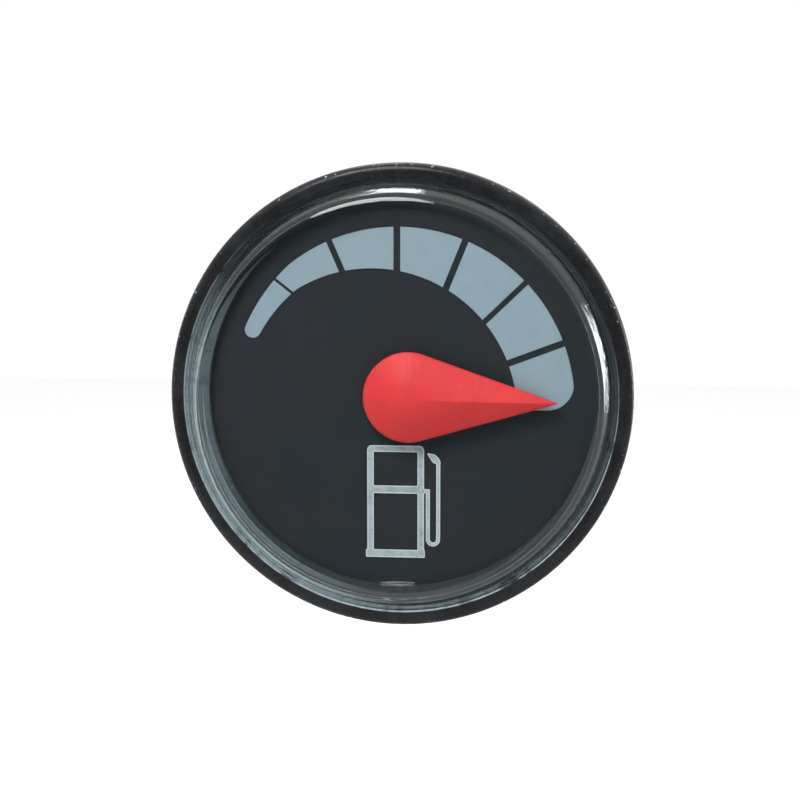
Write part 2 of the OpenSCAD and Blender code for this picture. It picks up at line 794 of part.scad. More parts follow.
module calibration_resistor() {
    axis_z = board_top_z + resistor_r + 0.1;
    face() color([0.75, 0.65, 0.45]) translate([0, resistor_y, 0]) {
        translate([-resistor_len / 2, 0, axis_z]) rotate([0, 90, 0])
            cylinder(r = resistor_r, h = resistor_len);
        translate([-lead_x, 0, axis_z]) rotate([0, 90, 0]) cylinder(r = lead_r, h = 2 * lead_x);
        for (x = [-lead_x, lead_x]) translate([x, 0, board_z - pin_stub]) {
            cylinder(r = lead_r, h = axis_z - board_z + pin_stub);
            translate([0, 0, axis_z - board_z + pin_stub]) sphere(r = lead_r, $fn = 24);
        }
    }
}

// Window in the case's back for the neck of the terminal block
neck_w = 2 * blade_pitch + blade_t + 4.8;
neck_h = blade_w + 1.8;

// Drawn cup with a flange at its mouth and holes in its back
module case_shell() {
    corner_in_r = case_corner_r - case_wall;
    face() color([0.55, 0.56, 0.57]) difference() {
        rotate_extrude() polygon(concat(
            [[0, back_in_z], [0, back_z]],
            arc(barrel_r - case_corner_r, back_z + case_corner_r, case_corner_r, -90, 0),
            [[barrel_r, 0], [neck_r, flange_z], [flange_r, flange_z]],
            [[flange_r, seal_z], [barrel_in_r, seal_z]],
            arc(barrel_in_r - corner_in_r, back_in_z + corner_in_r, corner_in_r, 0, -90)
        ));
        both_studs() translate([0, 0, back_z - 1]) cylinder(r = stud_r + seat_fit, h = case_wall + 2);
        translate([0, lamp_y, back_z - 1]) cylinder(r = sleeve_r + sleeve_fit, h = case_wall + 2);
        translate([0, -block_y, back_z])
            cube([neck_w + 2 * seat_fit, neck_h + 2 * seat_fit, 3 * case_wall], center = true);
    }
}

module panel_gasket() {
    face() color([0.08, 0.08, 0.08]) ring(neck_r + seat_fit, bezel_r - 0.4, 0, gasket_t);
}

// Insulating block with a slot for each blade
module terminal_block() {
    face() color([0.16, 0.16, 0.17]) difference() {
        translate([0, -block_y, 0]) union() {
            translate([0, 0, back_z - block_t / 2]) cube([neck_w + 4, neck_h + 2, block_t], center = true);
            translate([-neck_w / 2, -neck_h / 2, back_z - 1]) cube([neck_w, neck_h, board_z - back_z + 1]);
        }
        blade_slots(back_z - block_t - 1, board_z - back_z + block_t + 2);
    }
}

// Flat tab with bevelled corners and a locking hole, from the board out through the block
module blade(i) {
    rear = back_z - block_t - blade_out;
    bevel = 1.2;
    half = blade_w / 2;
    face() color([0.83, 0.8, 0.7]) translate([i * blade_pitch, -block_y, 0])
        rotate([90, 0, 90]) linear_extrude(blade_t, center = true) difference() {
            polygon([
                [-half, board_top_z + 1], [-half, rear + bevel], [-half + bevel, rear], [half - bevel, rear],
                [half, rear + bevel], [half, board_top_z + 1]
            ]);
            translate([0, rear + 3.2]) circle(r = 0.8);
        }
}

module supply_blade() {
    blade(-1);
}

module sender_blade() {
    blade(0);
}

module earth_blade() {
    blade(1);
}

module mounting_studs() {
    face() color([0.78, 0.79, 0.8]) both_studs() translate([0, 0, stud_rear_z + 0.4]) {
        cylinder(r = stud_r, h = stud_end_z - stud_rear_z - 0.4);
        translate([0, 0, -0.4]) cylinder(r1 = stud_r - 0.4, r2 = stud_r, h = 0.4);
    }
}

module stud_nuts() {
    face() color([0.78, 0.79, 0.8]) both_studs() translate([0, 0, back_z - hex_h]) difference() {
        cylinder(r = 2.02 * stud_r, h = hex_h, $fn = 6);
        translate([0, 0, -1]) cylinder(r = stud_r + thread_fit, h = hex_h + 2);
    }
}

// Bent strap whose legs reach forward past the case to press on the panel's back
module mounting_clamp() {
    bend_r = strap_t + 1.6;
    out_x = clamp_in_x + strap_t;
    foot_z = -panel_max;
    face() color([0.72, 0.73, 0.74]) difference() {
        rotate([90, 0, 0]) linear_extrude(strap_w, center = true) difference() {
            rounded_rect(-out_x, clamp_rear_z, out_x, foot_z + 2 * bend_r, bend_r);
            rounded_rect(-clamp_in_x, clamp_z, clamp_in_x, foot_z + 9 * bend_r, bend_r - strap_t);
            translate([-2 * out_x, foot_z]) square([4 * out_x, 10 * bend_r]);
        }
        both_studs() translate([0, 0, clamp_rear_z - 1]) cylinder(r = stud_r + free_gap, h = strap_t + 2);
    }
}

module spring_washers() {
    face() color([0.7, 0.71, 0.72]) both_studs() difference() {
        ring(stud_r + free_gap, stud_r + free_gap + washer_w, nut_z, washer_t);
        translate([0, -washer_split / 2, nut_z - 1]) cube([stud_r + 2 * washer_w, washer_split, washer_t + 2]);
    }
}

// Brass nut with a plain collar and a straight-knurled grip
module thumb_nut(side) {
    ribs = 24;
    collar_h = 1;
    face() color([0.8, 0.66, 0.32]) translate([side * stud_x, 0, nut_z - nut_h]) difference() {
        union() {
            cylinder(r = nut_r, h = nut_h - collar_h);
            cylinder(r = 0.7 * nut_r, h = nut_h);
        }
        for (i = [0:ribs - 1]) at_polar(nut_r + 0.2, i * 360 / ribs) translate([0, 0, -1])
            cylinder(r = 0.5, h = nut_h - collar_h + 1, $fn = 16);
        translate([0, 0, -1]) cylinder(r = stud_r + thread_fit, h = nut_h + 2);
    }
}

module left_thumb_nut() {
    thumb_nut(-1);
}

module right_thumb_nut() {
    thumb_nut(1);
}

// Metal sleeve with slots for the bulb's two bayonet pins
module lamp_holder() {
    slot_w = 2;
    face() color([0.74, 0.75, 0.76]) translate([0, lamp_y, 0]) difference() {
        union() {
            translate([0, 0, back_z - lamp_flange_t]) cylinder(r = sleeve_r, h = sleeve_h + lamp_flange_t);
            translate([0, 0, back_z - lamp_flange_t]) cylinder(r = lamp_flange_r, h = lamp_flange_t);
        }
        translate([0, 0, back_z - lamp_flange_t - 1]) cylinder(r = lamp_bore_r, h = sleeve_h + 4);
        translate([-bulb_cap_r - 1.2, -slot_w / 2, bulb_pin_z - slot_w / 2])
            cube([2 * bulb_cap_r + 2.4, slot_w, sleeve_h]);
    }
}

bulb_pin_z = lamp_top_z - 5;

module lamp_insulator() {
    plug_z = back_z - lamp_flange_t;
    face() color([0.14, 0.12, 0.11]) translate([0, lamp_y, 0]) difference() {
        union() {
            translate([0, 0, plug_z - insulator_h]) cylinder(r = sleeve_r - 0.6, h = insulator_h);
            translate([0, 0, plug_z - 1]) cylinder(r = lamp_bore_r - seat_fit, h = insulator_top_z - plug_z + 1);
        }
        cube([blade_w + seat_fit, blade_t + seat_fit, 4 * case_depth], center = true);
    }
}

// Tab through the insulator that touches the bulb's centre contact
module lamp_blade() {
    rear = back_z - lamp_flange_t - insulator_h - blade_out;
    bevel = 1.2;
    half = blade_w / 2;
    top = insulator_top_z + 0.6;
    face() color([0.83, 0.8, 0.7]) translate([0, lamp_y, 0]) rotate([90, 0, 0])
        linear_extrude(blade_t, center = true) difference() {
            polygon([
                [-half, top], [-half, rear + bevel], [-half + bevel, rear], [half - bevel, rear],
                [half, rear + bevel], [half, top]
            ]);
            translate([0, rear + 3.2]) circle(r = 0.8);
        }
}

// Brass cap with a centre contact and two side pins
module bulb_cap() {
    contact_z = insulator_top_z + 0.6;
    face() color([0.8, 0.66, 0.34]) translate([0, lamp_y, 0]) difference() {
        union() {
            translate([0, 0, bulb_foot_z]) cylinder(r = bulb_cap_r, h = bulb_cap_h);
            translate([0, 0, contact_z]) cylinder(r = 2, h = bulb_foot_z - contact_z + 0.5);
            translate([-bulb_cap_r - 0.9, 0, bulb_pin_z]) rotate([0, 90, 0])
                cylinder(r = 0.9, h = 2 * bulb_cap_r + 1.8);
        }
        translate([0, 0, bulb_foot_z + bulb_cap_h - 2]) cylinder(r = bulb_r + seat_fit / 2, h = 3);
    }
}

module bulb_glass() {
    foot = bulb_foot_z + bulb_cap_h - 2;
    dome = foot + bulb_h - bulb_r;
    glass_t = 0.5;
    face() color([0.9, 0.92, 0.92, 0.35]) translate([0, lamp_y, 0]) rotate_extrude() polygon(concat(
        [[0, foot], [bulb_r, foot]],
        arc(0, dome, bulb_r, 0, 90),
        arc(0, dome, bulb_r - glass_t, 90, 0),
        [[bulb_r - glass_t, foot + 3], [0, foot + 3]]
    ));
}

// Two support wires and the coil between them
module bulb_filament() {
    foot = bulb_foot_z + bulb_cap_h + 1;
    wire_r = 0.25;
    half = 2.2;
    rise = bulb_h - bulb_r - 4.5;
    face() color([0.6, 0.6, 0.62]) translate([0, lamp_y, foot]) {
        for (x = [-half, half]) translate([x, 0, 0]) cylinder(r = wire_r, h = rise, $fn = 24);
        translate([-half - wire_r, 0, rise]) rotate([0, 90, 0])
            cylinder(r = 0.4, h = 2 * (half + wire_r), $fn = 24);
    }
}

bezel_ring();
lens();
lens_seal();
dial_retainer();
dial_plate();
scale_segments();
pump_symbol();
light_diffuser();
pointer();
pointer_bush();
spindle();
rotor_magnet();
balance_arm();
balance_weight();
stop_pins();
front_bearing();
rear_bearing();
front_bobbin();
rear_bobbin();
inner_coil();
outer_coil();
coil_pins();
shield_can();
zero_magnet();
movement_frame();
movement_screws();
frame_spacers();
board_spacers();
circuit_board();
calibration_resistor();
case_shell();
panel_gasket();
terminal_block();
supply_blade();
sender_blade();
earth_blade();
mounting_studs();
stud_nuts();
mounting_clamp();
spring_washers();
left_thumb_nut();
right_thumb_nut();
lamp_holder();
lamp_insulator();
lamp_blade();
bulb_cap();
bulb_glass();
bulb_filament();
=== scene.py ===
# %% [markdown]
# A dashboard fuel gauge, dressed for its picture.
# The solids of the gauge come packed, each in its real place and size.
# This lesson puts finishes on them and rebuilds the ones whose edges catch the light.

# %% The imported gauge
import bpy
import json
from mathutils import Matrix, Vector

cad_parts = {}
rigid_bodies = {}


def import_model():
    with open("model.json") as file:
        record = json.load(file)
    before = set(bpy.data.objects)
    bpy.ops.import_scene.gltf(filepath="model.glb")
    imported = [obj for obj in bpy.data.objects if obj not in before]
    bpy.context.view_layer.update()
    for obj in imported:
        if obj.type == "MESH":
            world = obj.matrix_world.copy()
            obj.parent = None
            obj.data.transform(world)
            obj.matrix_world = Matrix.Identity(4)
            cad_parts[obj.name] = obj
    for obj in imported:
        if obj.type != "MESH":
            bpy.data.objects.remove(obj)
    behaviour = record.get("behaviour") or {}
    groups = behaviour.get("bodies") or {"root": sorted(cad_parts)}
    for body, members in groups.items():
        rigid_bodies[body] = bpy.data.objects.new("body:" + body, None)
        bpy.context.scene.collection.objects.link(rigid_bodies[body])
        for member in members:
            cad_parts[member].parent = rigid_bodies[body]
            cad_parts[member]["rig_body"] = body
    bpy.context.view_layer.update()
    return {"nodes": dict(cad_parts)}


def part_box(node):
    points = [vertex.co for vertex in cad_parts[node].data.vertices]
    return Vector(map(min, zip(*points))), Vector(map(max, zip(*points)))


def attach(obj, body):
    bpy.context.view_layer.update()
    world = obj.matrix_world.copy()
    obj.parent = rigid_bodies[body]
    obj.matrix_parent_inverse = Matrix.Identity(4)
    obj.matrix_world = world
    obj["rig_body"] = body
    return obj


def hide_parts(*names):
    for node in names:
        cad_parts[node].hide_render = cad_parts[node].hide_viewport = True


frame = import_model()
print("solids in the frame:", len(frame["nodes"]))

# %% [markdown]
# Blender counts in metres, while a gauge is thought of in millimetres. One constant turns the one into the
# other, so that the numbers below read like a drawing. The Standard view shows colours as they are written,
# where the default one would flatten the whites.

# %% Tools of the lesson
import json
import math

import bmesh
import bpy
from mathutils import Matrix, Vector

MM = 0.001
studio = bpy.context.scene
studio.view_settings.view_transform = "Standard"
print("one unit is a metre, so a millimetre is", MM)

# %% [markdown]
# The photographer stood a little to the right of the gauge and a little above it, and looked at it from
# about 25 cm. A long lens keeps the round rim nearly round. The camera could be placed by hand until it looks
# right, but two angles, a distance and a scale say it exactly.
# The rim's middle lies a few pixels off the picture's middle, so the camera is moved across by as much.

# %% Camera
PICTURE_SIDE = 800
AZIMUTH = math.radians(6.3)
ELEVATION = math.radians(7.1)
DISTANCE = 255 * MM
PIXELS_PER_MM = 7.97
RIM_MIDDLE = Vector((0, -2.5 * MM, 0))
RIM_PIXEL = (401.25, 395.02)

towards = Vector((
    math.sin(AZIMUTH) * math.cos(ELEVATION),
    -math.cos(AZIMUTH) * math.cos(ELEVATION),
    math.sin(ELEVATION),
))
turn = towards.to_track_quat("Z", "Y")
across = (RIM_PIXEL[0] - PICTURE_SIDE / 2) / PIXELS_PER_MM * MM
up = (PICTURE_SIDE / 2 - RIM_PIXEL[1]) / PIXELS_PER_MM * MM
lens_data = bpy.data.cameras.new("camera")
lens_data.lens = lens_data.sensor_width * DISTANCE / (PICTURE_SIDE / PIXELS_PER_MM * MM)
camera = bpy.data.objects.new("camera", lens_data)
camera.rotation_euler = turn.to_euler()
camera.location = RIM_MIDDLE + towards * DISTANCE - turn @ Vector((across, up, 0))
studio.collection.objects.link(camera)
studio.camera = camera
print("focal length:", round(lens_data.lens, 1), "mm")

# %% [markdown]
# Most of what a node tree needs is said by one small helper: it adds a node, sets its plain values, and
# links a socket wherever a value is itself another node's output. A second helper takes a colour with parts
# from 0 to 255, as an image editor shows it, and makes it linear, as a shader wants it.


# %% Helpers for nodes and colours
def add(tree, kind, inputs=None, **settings):
    node = tree.nodes.new(kind)
    for label, value in settings.items():
        setattr(node, label, value)
    for label, value in (inputs or {}).items():
        if isinstance(value, bpy.types.NodeSocket):
            tree.links.new(value, node.inputs[label])
        else:
            node.inputs[label].default_value = value
    return node


def paint(red, green, blue):
    def linear(part):
        part /= 255
        return part / 12.92 if part < 0.04 else ((part + 0.055) / 1.055) ** 2.4
    return (linear(red), linear(green), linear(blue), 1)


# %% [markdown]
# The picture has a plain white ground, and camera rays that miss the gauge see it. A ray that a surface has
# mirrored or clear plastic has bent sees white overhead, a greyer wall at the sides and a dim room in front.
# Metal keeps its form that way, and the lens's flat front stays clear over the black dial.

# %% The room
ROOM_FRONT = 0.03
ROOM_SIDE = 0.5
ROOM_SOFT = 0.62
OVERHEAD_HEIGHT = 0.8
DIM_UP_TO = -0.85
DIM_NO_MORE = -0.1

world = bpy.data.worlds.new("studio_room")
studio.world = world
world.use_nodes = True
room = world.node_tree
ray = add(room, "ShaderNodeLightPath")
way = add(room, "ShaderNodeSeparateXYZ", {
    "Vector": add(room, "ShaderNodeTexCoord").outputs["Generated"],
})
around = add(room, "ShaderNodeMapRange", {
    "Value": way.outputs["Z"], "From Min": 0.0, "From Max": OVERHEAD_HEIGHT, "To Min": ROOM_SIDE,
    "To Max": 1.0,
}, interpolation_type="SMOOTHSTEP")
mirrored = add(room, "ShaderNodeMapRange", {
    "Value": way.outputs["Y"], "From Min": DIM_UP_TO, "From Max": DIM_NO_MORE, "To Min": ROOM_FRONT,
    "To Max": around.outputs["Result"],
}, interpolation_type="SMOOTHSTEP")
shown = add(room, "ShaderNodeMath", {
    0: ray.outputs["Is Glossy Ray"], 1: ray.outputs["Is Transmission Ray"],
}, operation="MAXIMUM")
soft = add(room, "ShaderNodeMix", {
    "Factor": shown.outputs["Value"], "A": ROOM_SOFT, "B": mirrored.outputs["Result"],
})
seen = add(room, "ShaderNodeMix", {
    "Factor": ray.outputs["Is Camera Ray"], "A": soft.outputs["Result"], "B": 1.0,
})
room.links.new(seen.outputs["Result"], room.nodes["Background"].inputs["Strength"])
room.nodes["Background"].inputs["Color"].default_value = (1, 1, 1, 1)
print("room nodes:", len(room.nodes))

# %% [markdown]
# One large softbox above the photographer lights the face. Three small ones stand behind the gauge, where
# the leaning wall of the lens mirrors them: they are the glints at its top and the streaks at its sides.
# Those three are a little cooler than the large one, as window light is. A thin strip in front of the gauge
# is far too weak to light it, but the flat front of the lens mirrors it as one short dash. Glints could be
# painted on the lens instead, but they would not move when the gauge is turned.


# %% Softboxes
WINDOW_LIGHT = (0.86, 0.93, 1.0)


def softbox(name, place, size, power, colour=(1, 1, 1)):
    data = bpy.data.lights.new(name, "AREA")
    data.shape = "ELLIPSE"
    data.size, data.size_y = size[0] * MM, size[1] * MM
    data.energy = power
    data.color = colour
    lamp = bpy.data.objects.new(name, data)
    lamp.location = Vector(place) * MM
    lamp.rotation_euler = lamp.location.to_track_quat("Z", "Y").to_euler()
    lamp.visible_camera = False
    studio.collection.objects.link(lamp)


softbox("softbox_above", (-110, -280, 390), (300, 240), 2.05)
softbox("softbox_glints", (-85, 280, 410), (190, 60), 0.33, WINDOW_LIGHT)
softbox("softbox_right", (415, 277, 25), (45, 330), 0.64, WINDOW_LIGHT)
softbox("softbox_left", (-335, 365, 20), (110, 260), 0.27, WINDOW_LIGHT)
softbox("softbox_strip", (-12.8, -125.5, -48.6), (6.4, 0.28), 0.00003)
print("lamps:", len(bpy.data.lights))

# %% [markdown]
# The floor is a pale sheet under the gauge. Its front edge stops short of where the flat lens would mirror
# it. To the camera it adds a little white of its own, so it matches the ground and still shows shadow.

# %% Floor
FLOOR_Z = -80 * MM
FLOOR_HALF = 700 * MM
FLOOR_FRONT = -240 * MM
FLOOR_GREY = 0.65
FLOOR_GLOW = 0.5

sheet = bmesh.new()
bmesh.ops.create_grid(sheet, x_segments=1, y_segments=1, size=FLOOR_HALF)
for corner in sheet.verts:
    corner.co.z = FLOOR_Z
    corner.co.y = max(corner.co.y, FLOOR_FRONT)
floor_mesh = bpy.data.meshes.new("floor")
sheet.to_mesh(floor_mesh)
sheet.free()
floor = bpy.data.objects.new("floor", floor_mesh)
studio.collection.objects.link(floor)
floor_paper = bpy.data.materials.new("floor_paper")
floor_paper.use_nodes = True
paper = floor_paper.node_tree
matt = paper.nodes["Principled BSDF"]
matt.inputs["Base Color"].default_value = (FLOOR_GREY, FLOOR_GREY, FLOOR_GREY, 1)
matt.inputs["Roughness"].default_value = 1.0
glow = add(paper, "ShaderNodeEmission", {
    "Strength": add(paper, "ShaderNodeMath", {
        0: add(paper, "ShaderNodeLightPath").outputs["Is Camera Ray"], 1: FLOOR_GLOW,
    }, operation="MULTIPLY").outputs["Value"],
})
both = add(paper, "ShaderNodeAddShader", {0: matt.outputs["BSDF"], 1: glow.outputs["Emission"]})
paper.links.new(both.outputs["Shader"], paper.nodes["Material Output"].inputs["Surface"])
floor_mesh.materials.append(floor_paper)
print("floor at", FLOOR_Z / MM, "mm")

# %% [markdown]
# Real surfaces are never one flat colour. The effects that several finishes share are node groups: blotches,
# fine scratches, turning marks, a worn rim, one side of a ring (where light is painted on the seal) and
# settled dust. Each reads the place on the object and puts out a mask, so that a finish can use it for
# colour, for roughness or for a bump. A mask that is worked out from the place needs no picture file and has
# no seams.


# %% Helpers that open and close a node group
def open_group(name, inputs):
    tree = bpy.data.node_groups.new(name, "ShaderNodeTree")
    for label, value in inputs.items():
        socket = tree.interface.new_socket(label, in_out="INPUT", socket_type="NodeSocketFloat")
        socket.default_value = value
    tree.interface.new_socket("Mask", in_out="OUTPUT", socket_type="NodeSocketFloat")
    given = tree.nodes.new("NodeGroupInput").outputs
    place = add(tree, "ShaderNodeTexCoord").outputs["Object"]
    return tree, given, place


def close_group(tree, value):
    add(tree, "NodeGroupOutput", {"Mask": value})
    print("group:", tree.name)
    return tree


# %% [markdown]
# Blotches are clouds of noise. Two limits, Low and High, decide how much of the surface they take and how
# soft their edges are: far apart for a drift of colour, close together for specks.

# %% Blotches
tree, given, place = open_group("blotches", {"Scale": 300, "Low": 0.4, "High": 0.6})
cloud = add(tree, "ShaderNodeTexNoise", {
    "Vector": place, "Scale": given["Scale"], "Detail": 4.0, "Roughness": 0.6,
})
blotches = close_group(tree, add(tree, "ShaderNodeMapRange", {
    "Value": cloud.outputs["Fac"], "From Min": given["Low"], "From Max": given["High"],
}, interpolation_type="SMOOTHSTEP").outputs["Result"])

# %% [markdown]
# Hairline scratches are the thin places where a stretched noise passes its middle value. Lines drawn one by
# one would look combed, while these bend, fade out and cross each other.

# %% Scratches
SCRATCH_AXIS = (0.2, 1, 0.1)
SCRATCH_STRETCH = (1, 0.35, 9)

tree, given, place = open_group("scratches", {"Scale": 250, "Width": 0.012, "Angle": 0.6})
turned_place = add(tree, "ShaderNodeVectorRotate", {
    "Vector": place, "Axis": SCRATCH_AXIS, "Angle": given["Angle"],
})
stretched = add(tree, "ShaderNodeMapping", {
    "Vector": turned_place.outputs["Vector"], "Scale": SCRATCH_STRETCH,
})
lines = add(tree, "ShaderNodeTexNoise", {
    "Vector": stretched.outputs["Vector"], "Scale": given["Scale"], "Detail": 2.0,
})
off_middle = add(tree, "ShaderNodeMath", {0: lines.outputs["Fac"], 1: 0.5}, operation="SUBTRACT")
distance = add(tree, "ShaderNodeMath", {0: off_middle.outputs["Value"]}, operation="ABSOLUTE")
scratches = close_group(tree, add(tree, "ShaderNodeMapRange", {
    "Value": distance.outputs["Value"], "From Min": 0.0, "From Max": given["Width"],
    "To Min": 1.0, "To Max": 0.0,
}).outputs["Result"])

# %% [markdown]
# The gauge is a turned thing. The distance from its axis, which runs along Y, drives the turning marks
# on its rings and the wear along its rim.


# %% Distance from the axis
def axis_distance(tree, place):
    flat = add(tree, "ShaderNodeVectorMath", {0: place, 1: (1, 0, 1)}, operation="MULTIPLY")
    length = add(tree, "ShaderNodeVectorMath", {0: flat.outputs["Vector"]}, operation="LENGTH")
    return length.outputs["Value"]


# %% [markdown]
# Turning marks are a noise along that distance alone, so they close into rings.

# %% Turning marks
tree, given, place = open_group("turning_marks", {"Rings per metre": 2500})
rings = add(tree, "ShaderNodeTexNoise", {
    "W": axis_distance(tree, place), "Scale": given["Rings per metre"], "Detail": 3.0,
}, noise_dimensions="1D")
turning_marks = close_group(tree, rings.outputs["Fac"])

# %% [markdown]
# Wear sits where a ring is touched. The mask is one at a given radius, and falls to nought a given width away
# from it on either side.

# %% Worn rim
tree, given, place = open_group("worn_rim", {"Radius": 28.7 * MM, "Width": 0.5 * MM})
away = add(tree, "ShaderNodeMath", {0: axis_distance(tree, place), 1: given["Radius"]}, operation="SUBTRACT")
near = add(tree, "ShaderNodeMath", {
    0: add(tree, "ShaderNodeMath", {0: away.outputs["Value"]}, operation="ABSOLUTE").outputs["Value"],
    1: given["Width"],
}, operation="DIVIDE")
worn_rim = close_group(tree, add(tree, "ShaderNodeMapRange", {
    "Value": near.outputs["Value"], "From Min": 0.0, "From Max": 1.0, "To Min": 1.0, "To Max": 0.0,
}, interpolation_type="SMOOTHSTEP").outputs["Result"])

# %% [markdown]
# This mask is high on the part of a ring that lies in a given direction from the axis, and low on the rest.
# The seal and the retaining ring use it for painted light on one side, and the bezel for its pale lip line.

# %% One side
tree, given, place = open_group("one_side", {
    "Towards X": -0.9, "Towards Z": -0.42, "Low": 0.4, "High": 0.9,
})
direction = add(tree, "ShaderNodeCombineXYZ", {"X": given["Towards X"], "Z": given["Towards Z"]})
facing = add(tree, "ShaderNodeVectorMath", {
    0: place, 1: direction.outputs["Vector"],
}, operation="DOT_PRODUCT")
share = add(tree, "ShaderNodeMath", {
    0: facing.outputs["Value"], 1: axis_distance(tree, place),
}, operation="DIVIDE")
one_side = close_group(tree, add(tree, "ShaderNodeMapRange", {
    "Value": share.outputs["Value"], "From Min": given["Low"], "From Max": given["High"],
}, interpolation_type="SMOOTHSTEP").outputs["Result"])

# %% [markdown]
# Dust lies only on what faces up. The surface's own normal tells which way it faces, and a noise breaks the
# dust into specks.

# %% Dust
tree, given, place = open_group("dust", {"Scale": 900, "Low": 0.5, "High": 0.8})
upward = add(tree, "ShaderNodeSeparateXYZ", {"Vector": add(tree, "ShaderNodeNewGeometry").outputs["Normal"]})
lying = add(tree, "ShaderNodeMapRange", {
    "Value": upward.outputs["Z"], "From Min": 0.1, "From Max": 1.0,
})
specks = add(tree, "ShaderNodeTexNoise", {
    "Vector": place, "Scale": given["Scale"], "Detail": 6.0, "Roughness": 0.7,
})
settled = add(tree, "ShaderNodeMapRange", {
    "Value": specks.outputs["Fac"], "From Min": given["Low"], "From Max": given["High"],
})
dust = close_group(tree, add(tree, "ShaderNodeMath", {
    0: lying.outputs["Result"], 1: settled.outputs["Result"],
}, operation="MULTIPLY").outputs["Value"])


# %% [markdown]
# A finish starts as one shader with its plain numbers. Masks are then worked into it: mask_colour lays
# another colour where a mask is high, and so on for roughness and for the height of a bump. Each takes what
# is already there as its lower layer, so the layers can be stacked in any number.


# %% Helpers for finishes
finishes = {}


def finish(slot, colour, roughness, metallic=0.0, **numbers):
    made = bpy.data.materials.new(slot + "_finish")
    made.use_nodes = True
    shader = made.node_tree.nodes["Principled BSDF"]
    shader.inputs["Base Color"].default_value = colour
    shader.inputs["Roughness"].default_value = roughness
    shader.inputs["Metallic"].default_value = metallic
    for label, value in numbers.items():
        shader.inputs[label.replace("_", " ")].default_value = value
    finishes[slot] = made
    print("finish:", slot)
    return made.node_tree, shader


def mask(tree, group, **values):
    node = add(tree, "ShaderNodeGroup", node_tree=group)
    for label, value in values.items():
        node.inputs[label.replace("_", " ")].default_value = value
    return node.outputs["Mask"]


def times(tree, first, second):
    return add(tree, "ShaderNodeMath", {0: first, 1: second}, operation="MULTIPLY").outputs["Value"]


def mask_colour(tree, shader, where, colour):
    socket = shader.inputs["Base Color"]
    below = socket.links[0].from_socket if socket.links else tuple(socket.default_value)
    mixed = add(tree, "ShaderNodeMix", {"Factor": where, 6: below, 7: colour}, data_type="RGBA")
    tree.links.new(mixed.outputs[2], socket)


def mask_roughness(tree, shader, where, roughness):
    socket = shader.inputs["Roughness"]
    below = socket.links[0].from_socket if socket.links else socket.default_value
    mixed = add(tree, "ShaderNodeMix", {"Factor": where, "A": below, "B": roughness})
    tree.links.new(mixed.outputs["Result"], socket)


def bump(tree, shader, height, depth_mm, strength=1.0):
    socket = shader.inputs["Normal"]
    node = add(tree, "ShaderNodeBump", {"Height": height, "Distance": depth_mm * MM, "Strength": strength})
    if socket.links:
        tree.links.new(socket.links[0].from_socket, node.inputs["Normal"])
    tree.links.new(node.outputs["Normal"], socket)


# %% [markdown]
# What lies under clear glass is lit through it. A renderer finds a lamp behind bent rays only by luck, so
# for the rays that look for lamps the glass is a plain tinted window. Without this the dial would lie in the
# lens's own shadow.


# %% A helper for clear finishes
def let_lamps_through(tree, shader, tint):
    path = add(tree, "ShaderNodeLightPath")
    seeking = add(tree, "ShaderNodeMath", {
        0: path.outputs["Is Shadow Ray"], 1: path.outputs["Is Diffuse Ray"],
    }, operation="MAXIMUM")
    mixed = add(tree, "ShaderNodeMixShader", {
        0: seeking.outputs["Value"], 1: shader.outputs["BSDF"],
        2: add(tree, "ShaderNodeBsdfTransparent", {"Color": tint}).outputs["BSDF"],
    })
    tree.links.new(mixed.outputs["Shader"], tree.nodes["Material Output"].inputs["Surface"])


# %% [markdown]
# The bezel is steel under black stove enamel. It is glossy where fingers have polished it, dull with fine
# scuffs elsewhere, and chipped to pale specks along the outer edge that knocks against things. Round the
# lens, a fine broken pale line runs along the inner lip, strongest below.

# %% Black enamel
CHIPPED_R = 28.75 * MM
CHIPPED_WIDTH = 0.35 * MM
PALE_LIP_R = 27.12 * MM
PALE_LIP_WIDTH = 0.16 * MM

tree, shader = finish("black_enamel", paint(31, 31, 33), 0.22, Specular_IOR_Level=0.2)
mask_colour(tree, shader, mask(tree, blotches, Scale=160, Low=0.42, High=0.62), paint(38, 40, 43))
edge = mask(tree, worn_rim, Radius=CHIPPED_R, Width=CHIPPED_WIDTH)
grit = mask(tree, blotches, Scale=1700, Low=0.63, High=0.67)
mask_colour(tree, shader, times(tree, edge, grit), paint(206, 206, 200))
lip = mask(tree, worn_rim, Radius=PALE_LIP_R, Width=PALE_LIP_WIDTH)
lip_breaks = mask(tree, blotches, Scale=500, Low=0.3, High=0.56)
below = mask(tree, one_side, Towards_X=-0.3, Towards_Z=-0.95, Low=-0.7, High=0.2)
mask_colour(tree, shader, times(tree, below, times(tree, lip, lip_breaks)), paint(178, 188, 192))
mask_colour(tree, shader, mask(tree, dust, Scale=1500, Low=0.58, High=0.9), paint(84, 86, 88))
hairs = mask(tree, scratches, Scale=320, Width=0.01, Angle=0.8)
mask_roughness(tree, shader, mask(tree, blotches, Scale=420, Low=0.4, High=0.7), 0.42)
mask_roughness(tree, shader, hairs, 0.6)
bump(tree, shader, mask(tree, blotches, Scale=1400, Low=0.2, High=0.8), 0.012)
bump(tree, shader, times(tree, edge, grit), 0.05)

# %% [markdown]
# The lens is clear acrylic, a moulded cap with a faint blue-green tint. Years of wiping leave a web of fine
# scratches, and the moulding leaves a slight waviness that breaks up the reflections. The flat front stays
# clear, so both effects are held to the side wall by its distance from the axis.

# %% Clear acrylic
LENS_TINT = (0.955, 0.98, 0.985, 1)
WALL_R = 26.2 * MM
WALL_WIDTH = 2.4 * MM

